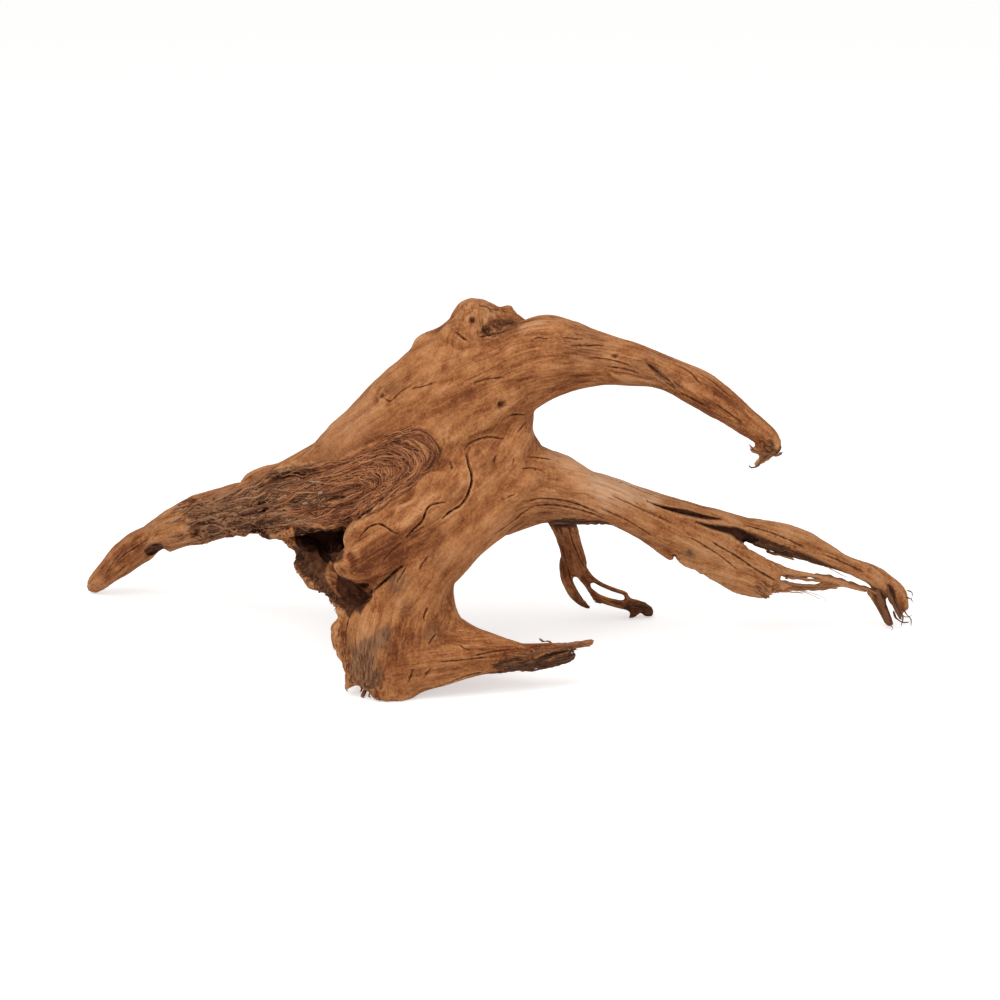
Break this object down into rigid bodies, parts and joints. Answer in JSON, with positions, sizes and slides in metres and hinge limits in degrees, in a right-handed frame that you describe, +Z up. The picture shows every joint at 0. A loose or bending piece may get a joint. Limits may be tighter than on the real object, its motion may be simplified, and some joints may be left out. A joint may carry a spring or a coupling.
{
  "type": "mangrove root",
  "caption": "Gnarled weathered root with a peaked trunk, a curved arm, a split reaching leg, a claw-like limb, a frayed side hollow and thin toes.",
  "frame": {"origin": "middle of the bounding box's base, on the ground", "axes": "+Z up; the front, with the frayed hollow, faces -Y; the limbs spread along X, the claw towards -X and the split leg towards +X"},
  "size_m": [0.5342, 0.2166, 0.2258],
  "materials": {
    "weathered_wood": "dry, matt, weathered grain"
  },
  "bodies": {
    "root": {"mangrove_root": "weathered_wood"}
  },
  "joints": []
}
